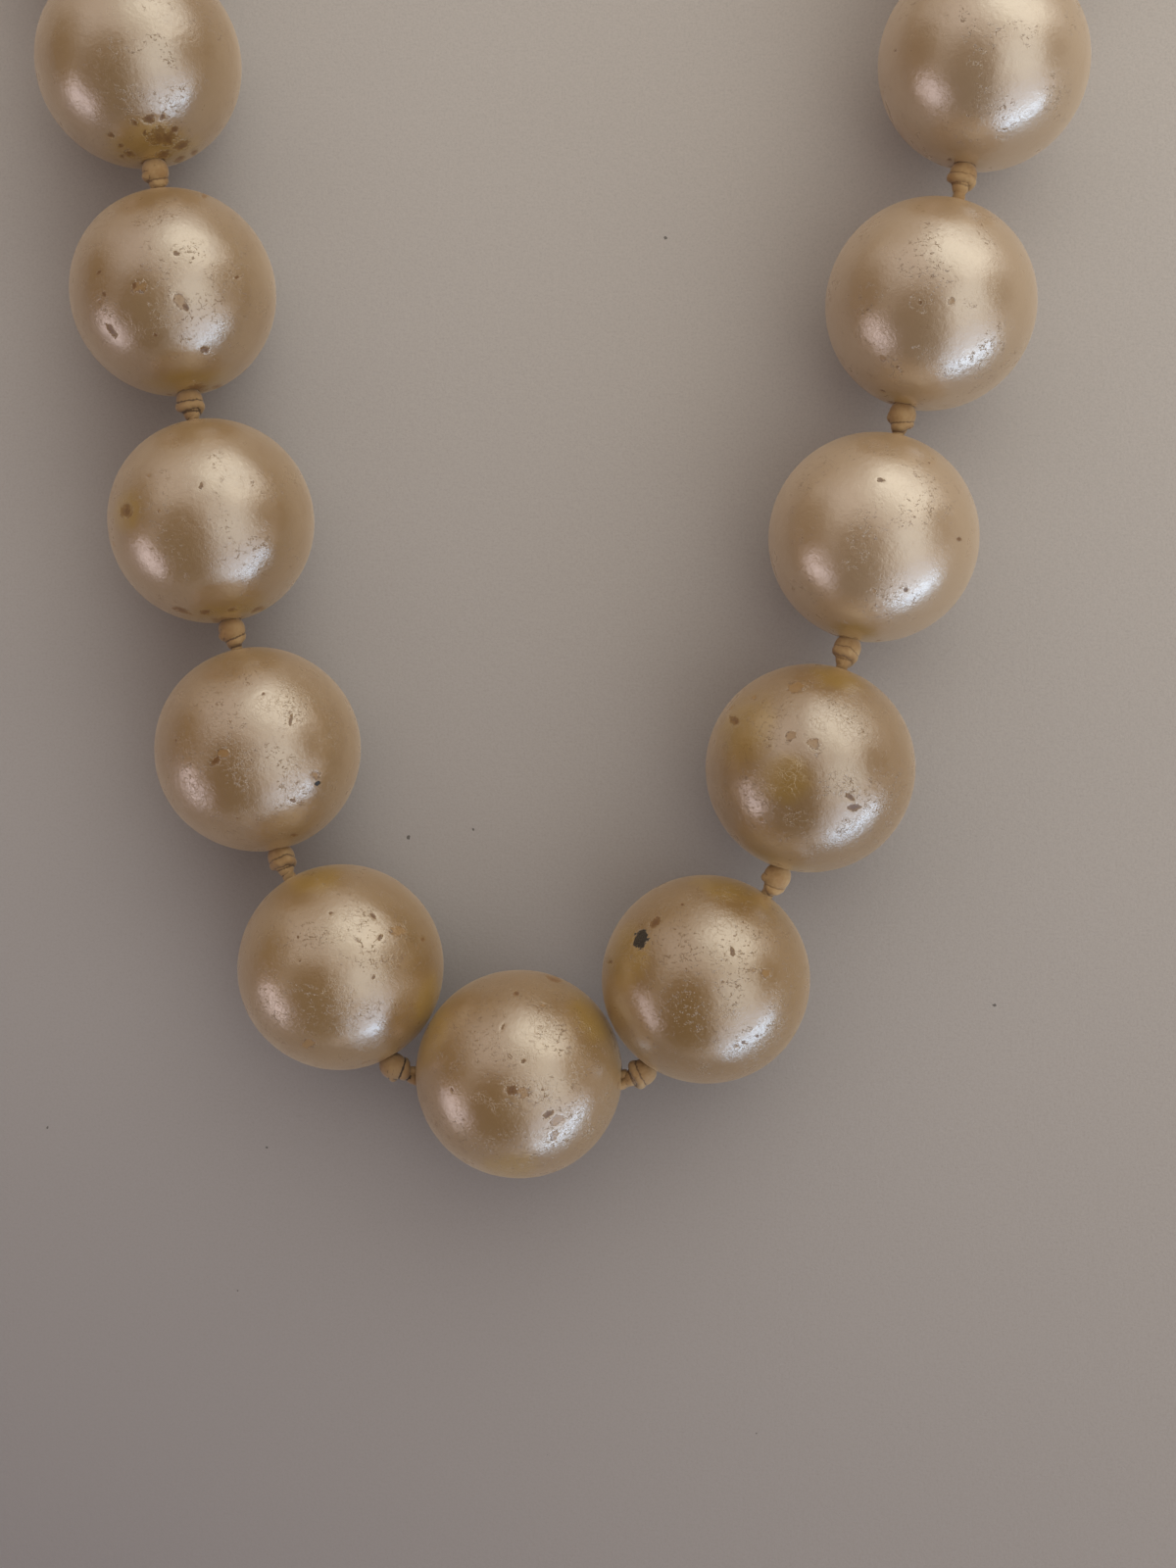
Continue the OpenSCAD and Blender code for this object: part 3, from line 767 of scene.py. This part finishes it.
def knot_path():
    """Overhand knot along x for a thread of thickness 1: in through the core, one and a half
    turns round it and out through the core."""
    k = KNOT
    s = np.linspace(0, 1, WRAP_RINGS)
    turn = 3 * math.pi * s - k["ease"] * 1.5 * np.sin(2 * math.pi * s)
    far = k["radius"] + k["oval"] * np.cos(2 * turn)
    out = k["core_offset"] + (far - k["core_offset"]) * smooth(k["rise"] * np.minimum(s, 1 - s))
    x = k["half"] * np.cos(math.pi * s) + k["bulge"] * np.sin(2 * math.pi * s)
    wrap = np.stack([x, out * np.cos(turn), out * np.sin(turn)], axis=1)
    cx = np.linspace(-k["reach"], k["half"], CORE_RINGS)[:-1]
    cy = k["core_offset"] * smooth((cx / k["reach"] + 1) / k["core_ease"])
    entry = np.stack([cx, cy, 0 * cx], axis=1)
    leave = np.stack([-cx, -cy, 0 * cx], axis=1)[::-1]
    return np.vstack([entry, wrap, leave])


def fused(points, faces, voxel):
    """Overlapping tubes, in millimetres, made into one closed skin."""
    mesh = bpy.data.meshes.new("skin")
    mesh.from_pydata(points.tolist(), [], faces)
    obj = bpy.data.objects.new("skin", mesh)
    bpy.context.scene.collection.objects.link(obj)
    skin = obj.modifiers.new("skin", "REMESH")
    skin.mode = "VOXEL"
    skin.voxel_size = voxel
    skin.use_smooth_shade = True
    soft = obj.modifiers.new("soft", "SMOOTH")
    soft.iterations = 2
    soft.factor = 0.5
    deps = bpy.context.evaluated_depsgraph_get()
    done = bpy.data.meshes.new_from_object(obj.evaluated_get(deps))
    verts = np.array([v.co[:] for v in done.vertices])
    polys = [tuple(p.vertices) for p in done.polygons]
    normals = np.array([v.normal[:] for v in done.vertices])
    edges = np.array([e.vertices[:] for e in done.edges])
    bpy.data.objects.remove(obj)
    bpy.data.meshes.remove(mesh)
    bpy.data.meshes.remove(done)
    return verts, polys, normals, edges


def sum_of_neighbours(values, edges):
    total = np.zeros_like(values)
    np.add.at(total, edges[:, 0], values[edges[:, 1]])
    np.add.at(total, edges[:, 1], values[edges[:, 0]])
    return total


def hollows(verts, normals, edges):
    """How deep in a crevice each point lies, 0 to 1."""
    count = sum_of_neighbours(np.ones(len(verts)), edges)
    middle = sum_of_neighbours(verts, edges) / count[:, None]
    value = ((middle - verts) * normals).sum(axis=1)
    for _ in range(3):
        value = 0.4 * value + 0.6 * sum_of_neighbours(value, edges) / count
    spread = np.percentile(np.abs(value), 90)
    return smooth(0.35 + value / spread * 0.65)


def egg(centre, radii, count=20):
    """Points and faces of an ellipsoid along x."""
    a = np.linspace(0.05, math.pi - 0.05, count)
    path = np.stack([-np.cos(a), 0 * a, 0 * a], axis=1)
    points, quads, tris = tube(path, np.sin(a), count)
    return points * np.array(radii) + np.array(centre), quads, tris


def knot_variant(variant):
    """A tight knot of thick thread along x about 0, drawn against the pearl at +x, with the
    thread running on towards -x."""
    rng = np.random.RandomState(KNOT_SEED + variant)
    base = knot_path() * KNOT_SCALE
    base[:, 0] = base[:, 0] * KNOT_STRETCH + KNOT_SHIFT
    base[:, 1] *= rng.uniform(*KNOT_WIDTHS)
    base[:, 2] *= rng.uniform(*KNOT_WIDTHS)
    base[:, 1:] *= (1 - KNOT_TAPER * smooth(-base[:, :1] / TAPER_LENGTH))
    if variant % 2:
        base[:, 2] *= -1
    far, near, past = [[x, 0, 0] for x in TAIL]
    path, _ = resample(np.vstack([[far, near], base, [past]]), KNOT_STEP)
    wander = [waves(path, WANDER_SCALE, variant * 7 + k) for k in range(3)]
    path += WANDER * np.stack(wander, axis=1)
    path[:, 0] += KNOT_LEAN * path[:, 1] * smooth((LEAN_END - np.abs(path[:, 0])) / LEAN_FADE)
    radius = NECK_R + (THREAD_R - NECK_R) * smooth((path[:, 0] + 0.75) / 0.5)
    points, quads, tris = tube(path, radius, KNOT_SEGMENTS, ply_depth=KNOT_PLY_DEPTH)
    faces = [tuple(int(x) for x in f) for f in list(quads) + list(tris)]
    for centre, radii in FILLERS:
        extra, quads, tris = egg(centre, radii)
        faces += [tuple(int(x) + len(points) for x in f) for f in list(quads) + list(tris)]
        points = np.vstack([points, extra])
    verts, polys, normals, edges = fused(points, faces, KNOT_VOXEL)
    return verts, polys, hollows(verts, normals, edges)


THREAD_TINT = linear(188, 152, 104)
THREAD_DARKER = linear(166, 126, 78)
THREAD_GRIMY = linear(120, 86, 52)
# Painted shade in the thread's crevices
THREAD_CREVICE_SHADE = linear(116, 80, 40)
THREAD_DIRT = linear(64, 44, 26)
THREAD_BUMP = 0.03


def thread_material():
    """Beige silk thread, with painted shade darkening its crevices and with brown grime rubbed in."""
    g = Graph("knotted thread")
    p = g.place()
    crevice_shade_and_dirt = g.value_of("crevice_shade_and_dirt")
    grime = g.value_of("grime")
    fuzz = g.noise(p, 5.0, 4.0, 0.7)
    broad = g.noise(p, 1.1, 3.0, 0.6)
    tint = g.mix(g.step(broad, 0.35, 0.7), THREAD_TINT, THREAD_DARKER)
    tint = g.mix(g.times(grime, 0.5), tint, THREAD_GRIMY)
    # Painted shade: every knot darkens in its crevices; on the grimy knots brown dirt gathers there too
    depth = g.times(g.step(g.plus(crevice_shade_and_dirt, g.times(fuzz, 0.7)), 0.72, 1.3), 0.5)
    tint = g.mix(depth, tint, THREAD_CREVICE_SHADE)
    dark = g.times(grime, g.step(g.plus(crevice_shade_and_dirt, fuzz), 0.72, 1.15))
    tint = g.mix(dark, tint, THREAD_DIRT)
    height = g.plus(g.times(fuzz, 0.6), g.times(g.noise(p, 12.0, 2.0, 0.6), 0.4))
    normal = g.bump(height, THREAD_BUMP, 0.8)
    g.surface(Base_Color=tint, Roughness=g.step(fuzz, 0.2, 0.8, 0.62, 0.86), Normal=normal,
              Sheen_Weight=0.25, Sheen_Roughness=0.5)
    return g.material


# How grimy the knots are that the photo shows so
DIRTY = {("left", 1): 1.0, ("left", 2): 0.55, ("left", 3): 0.6, ("left", 4): 0.7, ("right", 1): 0.5,
         ("left", 5): 0.35, ("right", 4): 0.35}
OTHER_DIRTY = 0.1
# Thread inside the pearls, and how its three plies twist
RUN_R = 0.3
RUN_SEGMENTS = 12
RUN_STEP = 0.15
NECK_SEGMENTS = 14
NECK_STEP = 0.1
THREAD_GRIME = 0.3
PLY_DEPTH = 0.2
LAY = 1.3
# Distances from a knot's centre where the thread past it starts and the thread before it ends
RUN_PAST = 1.0
RUN_BEFORE = 0.6
# Distances from a knot's centre that its neck into the next pearl goes through
NECK = (0.2, 0.9, 1.6)


def turn_to(x_dir, roll):
    """Rotation that takes x to a direction in the table's plane, rolled about it."""
    x = unit(x_dir)
    z = np.array([0, 0, 1.0])
    y = np.cross(z, x)
    c, s = math.cos(roll), math.sin(roll)
    return np.stack([x, y * c + z * s, -y * s + z * c], axis=1)


def thread_piece(name, path, radius, segments, crevice_shade_and_dirt, look):
    """A length of thread with its plies, with the same painted crevice shade and dirt value all along."""
    points, quads, tris = tube(path, radius, segments, ply_depth=PLY_DEPTH, lay=LAY)
    values = {"crevice_shade_and_dirt": np.full(len(points), crevice_shade_and_dirt), "grime": np.full(len(points), THREAD_GRIME)}
    obj = build_mesh(name, points, quads, tris, values)
    obj.data.materials.append(look)
    return obj


def headings(side, i):
    """Directions of the thread before and after a knot."""
    before = bore_axis[pearl_name(side, i - 1)]
    if i == 1:
        before = before * (-1 if side == "left" else 1)
    after = bore_axis[pearl_name(side, i)] if i <= SIDE_COUNT else before
    return before, after


def make_knot(side, i, variants, look):
    """A knot, drawn against the next pearl; the last knot of a leg rides on the cord before it, and the
    others stay where they are drawn.
    """
    k = knot_centre[side, i]
    before, after = headings(side, i)
    out = unit(before + after)
    seed = i * 5 + (0 if side == "left" else 71)
    rng = np.random.RandomState(seed)
    kind = seed % len(KNOT_FACE)
    verts, polys, crevice_shade_and_dirt = variants[kind]
    rot = turn_to(out, KNOT_FACE[kind] + rng.uniform(-FACE_VARIES, FACE_VARIES))
    slack = 0.0
    if i <= SIDE_COUNT:
        slack = np.linalg.norm(centre_of(pearl_name(side, i)) - k) - PEARL_R - KNOT_SPACE / 2
    lump = verts @ rot.T + k + after * slack
    grime = np.full(len(lump), DIRTY.get((side, i), OTHER_DIRTY))
    obj = build_mesh(f"knot_{side}_{i:02d}", lump, polys, values={"crevice_shade_and_dirt": crevice_shade_and_dirt, "grime": grime})
    obj.data.materials.append(look)
    if i <= SIDE_COUNT:
        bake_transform(obj)
    else:
        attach(obj, cord_body(side, i - 1))


def make_run(side, i, look):
    """Thread from a knot back through the pearl before it."""
    k = knot_centre[side, i]
    before, _ = headings(side, i)
    inner_end = centre_of("pearl_middle") if i == 1 else knot_centre[side, i - 1] + before * RUN_PAST
    path, _ = resample(np.array([inner_end, (inner_end + k) / 2, k - before * RUN_BEFORE]), RUN_STEP)
    run = thread_piece(f"thread_{side}_{i:02d}", path, RUN_R, RUN_SEGMENTS, 0.4, look)
    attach(run, cord_body(side, i - 1))
    if i > 1:
        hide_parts(cord_name(side, i - 1))
    elif side == "right":
        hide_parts("cord_middle")


def make_neck(side, i, look):
    """Neck of a knot into the next pearl, which turns about the knot with it."""
    _, after = headings(side, i)
    path, _ = resample(np.array([knot_centre[side, i] + after * x for x in NECK]), NECK_STEP)
    neck = thread_piece(f"neck_{side}_{i:02d}", path, NECK_R, NECK_SEGMENTS, 0.5, look)
    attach(neck, pearl_name(side, i))


# ---------------------------------------------------------------- end loops

LOOP_WIRE = 0.8
# Distance of a loop's legs from its middle line, and where they start from the knot's centre
LOOP_LEG = 0.62
LOOP_START = 1.0
# Half of the round end's arc, in degrees
LOOP_ARC = 125
LOOP_ARC_POINTS = 33
BULLION_R = 0.085
BULLION_PITCH = 0.19
TURN_POINTS = 20
# Where the thread in the loop leaves the knot, and which points of the coil's middle line it takes
CORE_START = 0.2
CORE_EVERY = 40


def bullion_loop(side, wire_look, look):
    """Thread loop sleeved in a fine coil of wire: two legs from the last knot, a round end."""
    start = mm(joints[f"loop_{side}"]["pos_m"])
    end = mm(joints[f"ring_{side}"]["pos_m"])
    length = np.linalg.norm(end - start)
    along = (end - start) / length
    sideways = unit(joints[f"loop_{side}"]["axis"])
    low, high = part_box(f"end_loop_{side}")
    bend = (mm(high)[0] - mm(low)[0] - LOOP_WIRE) / 2
    a = np.radians(np.linspace(LOOP_ARC, -LOOP_ARC, LOOP_ARC_POINTS))
    arc = np.stack([length - bend + bend * np.cos(a), bend * np.sin(a)], axis=1)
    flat = np.vstack([[LOOP_START, LOOP_LEG], arc, [LOOP_START, -LOOP_LEG]])
    path, at = resample(start + flat[:, :1] * along + flat[:, 1:] * sideways,
                        BULLION_PITCH / TURN_POINTS)
    n, b = frames_along(path)
    turn = (at / BULLION_PITCH * 2 * math.pi)[:, None]
    coil = path + (LOOP_WIRE / 2 - BULLION_R) * (n * np.cos(turn) + b * np.sin(turn))
    wire = build_mesh(f"bullion_{side}", *tube(coil, BULLION_R, 8))
    wire.data.materials.append(wire_look)
    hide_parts(f"end_loop_{side}")
    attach(wire, f"end_loop_{side}")

    root = start + CORE_START * along
    inner, _ = resample(np.vstack([[root], path[::CORE_EVERY], [root]]), NECK_STEP)
    radius = LOOP_WIRE / 2 - 1.6 * BULLION_R
    core = thread_piece(f"loop_thread_{side}", inner, radius, RUN_SEGMENTS, 0.5, look)
    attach(core, f"end_loop_{side}")


# ---------------------------------------------------------------- metal

METAL_BUMP = 0.012
EDGE_WEAR = 0.12
GOLD_TONE = (linear(226, 186, 112), linear(186, 142, 76))
BULLION_TONE = (linear(222, 184, 116), linear(170, 128, 70))
STEEL_TONE = (linear(190, 188, 182), linear(150, 146, 138))


def metal_material(name, tones, roughness, scratch=1.0):
    """Worn metal: cloudy between two tones, finely brushed, with its edges rubbed round."""
    light, dark = tones
    g = Graph(name)
    p = g.place()
    broad = g.noise(p, 0.5, 3.0, 0.55)
    fine = g.noise(p, 7.0, 3.0, 0.6)
    brushed = g.noise(g.place(stretch=(0.6, 6.0, 2.0)), 3.0, 3.0, 0.6)
    tint = g.mix(g.step(broad, 0.35, 0.7), light, dark)
    rub = g.step(g.plus(fine, g.times(broad, 0.6)), 0.78, 0.98)
    tint = g.mix(g.times(rub, 0.4), tint, dark)
    rough = g.plus(g.step(brushed, 0.3, 0.75, roughness, roughness + 0.12), g.times(rub, 0.15))
    height = g.plus(g.times(brushed, 0.5 * scratch), g.times(fine, 0.25))
    bevel = g.node("ShaderNodeBevel", samples=6)
    bevel.inputs["Radius"].default_value = EDGE_WEAR * MM
    normal = g.bump(height, METAL_BUMP, 0.6, bevel.outputs[0])
    g.surface(Base_Color=tint, Metallic=1.0, Roughness=rough, Normal=normal)
    return g.material


# ---------------------------------------------------------------- make the pieces

pearl_look = pearl_material()
thread_look = thread_material()
gold_look = metal_material("gold-tone metal", GOLD_TONE, 0.22)
bullion_look = metal_material("bullion wire", BULLION_TONE, 0.28, 0.4)
steel_look = metal_material("pin steel", STEEL_TONE, 0.30)

pearl_nodes = ["pearl_middle"]
for side in SIDES:
    pearl_nodes += [pearl_name(side, i) for i in range(1, SIDE_COUNT + 1)]
for order, node in enumerate(pearl_nodes):
    make_pearl(node, PEARL_SEED + order * PEARL_SEED_STEP, pearl_look)

variants = [knot_variant(k) for k in range(len(KNOT_FACE))]
for side in SIDES:
    for i in range(1, SIDE_COUNT + 2):
        make_knot(side, i, variants, thread_look)
        make_run(side, i, thread_look)
        if i <= SIDE_COUNT:
            make_neck(side, i, thread_look)
for side in SIDES:
    bullion_loop(side, bullion_look, thread_look)

METAL_NODES = {"clasp_body": gold_look, "clasp_lever": gold_look, "catch_tab": gold_look,
               "jump_ring_left": gold_look, "jump_ring_right": gold_look,
               "clasp_pin": steel_look, "clasp_spring": steel_look}
for node, look in METAL_NODES.items():
    for material_slot in frame["nodes"][node].material_slots:
        material_slot.material = look


# ---------------------------------------------------------------- table, light and camera

# Half the table's side, in metres
TABLE_HALF = 1.5
# The table's tint goes from dark to light along this direction, between these places in it: painted light,
# for the lamp's light falling off towards the near left
SHADE_ALONG = (0.5, 0.866, 0)
SHADE_FROM = -135.0
SHADE_TO = 5.0
TABLE_SHADED_TINT = linear(124, 116, 118)
TABLE_LIT_TINT = linear(202, 190, 179)
TABLE_GRAIN = linear(150, 140, 134)
TABLE_CLOUD = linear(158, 147, 140)
TABLE_FIBRE = linear(132, 122, 116)
TABLE_DUST = linear(66, 58, 54)
TABLE_BUMP = 0.05


def floor():
    """Pale paper with a few specks of dust, with painted shade darkening it towards the near left."""
    corners = [(-TABLE_HALF, -TABLE_HALF, 0), (TABLE_HALF, -TABLE_HALF, 0),
               (TABLE_HALF, TABLE_HALF, 0), (-TABLE_HALF, TABLE_HALF, 0)]
    mesh = bpy.data.meshes.new("table")
    mesh.from_pydata(corners, [], [(0, 1, 2, 3)])
    obj = bpy.data.objects.new("table", mesh)
    bpy.context.scene.collection.objects.link(obj)
    g = Graph("table")
    p = g.place()
    grain = g.noise(p, 2.5, 4.0, 0.65)
    fibre = g.noise(p, 7.0, 3.0, 0.7)
    broad = g.noise(p, 0.03, 2.0, 0.5)
    # Painted light and shade: the tint runs from the shaded to the lit colour across the table
    shade = g.ramp(g.along(p, SHADE_ALONG), SHADE_FROM, SHADE_TO)
    tint = g.mix(shade, TABLE_SHADED_TINT, TABLE_LIT_TINT)
    tint = g.mix(g.times(grain, 0.25), tint, TABLE_GRAIN)
    tint = g.mix(g.times(g.step(broad, 0.35, 0.7), 0.06), tint, TABLE_CLOUD)
    speck = g.cells(p, 0.11)
    speck.voronoi_dimensions = "2D"
    speck_r = g.times(g.step(speck.outputs["Color"], 0.55, 1.0), 0.026)
    frayed = g.times(g.noise(p, 6.0, 2.0, 0.6), 0.022)
    dust = g.math("LESS_THAN", g.plus(speck.outputs["Distance"], frayed), speck_r)
    tint = g.mix(g.times(dust, 0.75), tint, TABLE_DUST)
    tint = g.mix(g.step(fibre, 0.40, 0.75, 0.0, 0.22), tint, TABLE_FIBRE)
    normal = g.bump(g.plus(grain, g.times(fibre, 0.5)), TABLE_BUMP, 0.5)
    g.surface(Base_Color=tint, Roughness=0.85, Normal=normal, Specular_IOR_Level=0.2)
    obj.data.materials.append(g.material)


def direction(azimuth, elevation):
    a, e = math.radians(azimuth), math.radians(elevation)
    return [math.cos(a) * math.cos(e), math.sin(a) * math.cos(e), math.sin(e)]


# Light of the room, and where it differs: azimuth, elevation, outer and inner angle, colour
ROOM = (0.93, 0.88, 0.85)
GLOWS = [
    (60, 36, 43, 6, (1.44, 1.52, 1.44)),
    (-16, 50, 32, 4, (1.52, 1.62, 1.62)),
    (-52, 12, 34, 4, (1.44, 1.66, 2.00)),
    (-138, 64, 40, 14, (0.14, 0.09, 0.07)),
    (-116, 34, 44, 20, (0.10, 0.07, 0.055)),
    (174, 9, 44, 10, (0.20, 0.13, 0.07)),
    (5, 13, 25, 8, (0.28, 0.22, 0.18)),
    (116, 0, 34, 8, (0.56, 0.50, 0.44)),
]
# Lamps: azimuth, elevation, distance, width and height in metres, power, colour
LAMPS = {
    "window": (54, 36, 0.40, 0.40, 0.26, 0.24, (0.95, 0.98, 0.94)),
    "low window": (-52, 4, 0.45, 0.36, 0.07, 0.44, (0.44, 0.68, 1.0)),
    "far glow": (-148, 9, 0.45, 0.24, 0.22, 0.24, (0.92, 0.86, 1.0)),
}
# What the lamps are turned to, in metres
LAMP_AIM = (0.0, -0.045, 0.0)


def lamp(name, azimuth, elevation, distance, width, height, power, colour):
    """A rectangular lamp turned to the necklace."""
    data = bpy.data.lights.new(name, "AREA")
    data.shape = "RECTANGLE"
    data.size = width
    data.size_y = height
    data.energy = power
    data.color = colour
    obj = bpy.data.objects.new(name, data)
    toward = Vector(direction(azimuth, elevation))
    obj.location = Vector(LAMP_AIM) + toward * distance
    obj.rotation_euler = toward.to_track_quat("Z", "Y").to_euler()
    bpy.context.scene.collection.objects.link(obj)


def sky():
    """Soft room light: bright walls on the right, and dim ones on the left and near left."""
    world = bpy.data.worlds.new("room")
    bpy.context.scene.world = world
    world.use_nodes = True
    g = Graph("room", world.node_tree)
    c = g.node("ShaderNodeTexCoord")
    tint = (*ROOM, 1)
    for azimuth, elevation, outer, inner, colour in GLOWS:
        facing = g.along(c.outputs["Generated"], direction(azimuth, elevation))
        share = g.step(facing, math.cos(math.radians(outer)), math.cos(math.radians(inner)))
        tint = g.mix(share, tint, (*colour, 1))
    back = g.node("ShaderNodeBackground")
    g.link(tint, back.inputs[0])
    out = g.node("ShaderNodeOutputWorld")
    g.link(back.outputs[0], out.inputs[0])


# Focal length and long side in pixels of the photo, and the camera's turns from straight down
FOCAL = 2030.0
LONG_SIDE = 1600.0
TILT_X = math.radians(-0.242)
TILT_Y = math.radians(4.531)
ROLL = math.radians(0.275)
SENSOR = 36


def camera():
    """Seen from above, turned a few degrees."""
    flip = Matrix.Diagonal((1, -1, -1))
    turn = Matrix.Rotation(TILT_X, 3, "X") @ Matrix.Rotation(TILT_Y, 3, "Y") @ Matrix.Rotation(ROLL, 3, "Z")
    to_camera = flip @ turn @ flip
    data = bpy.data.cameras.new("camera")
    data.sensor_width = SENSOR
    data.lens = SENSOR * FOCAL / LONG_SIDE
    data.clip_start = 0.01
    obj = bpy.data.objects.new("camera", data)
    obj.matrix_world = Matrix.Translation(Vector(CAMERA_PLACE) * MM) @ to_camera.transposed().to_4x4()
    bpy.context.scene.collection.objects.link(obj)
    bpy.context.scene.camera = obj


floor()
sky()
for name, values in LAMPS.items():
    lamp(name, *values)
camera()
bpy.context.scene.view_settings.view_transform = "Standard"
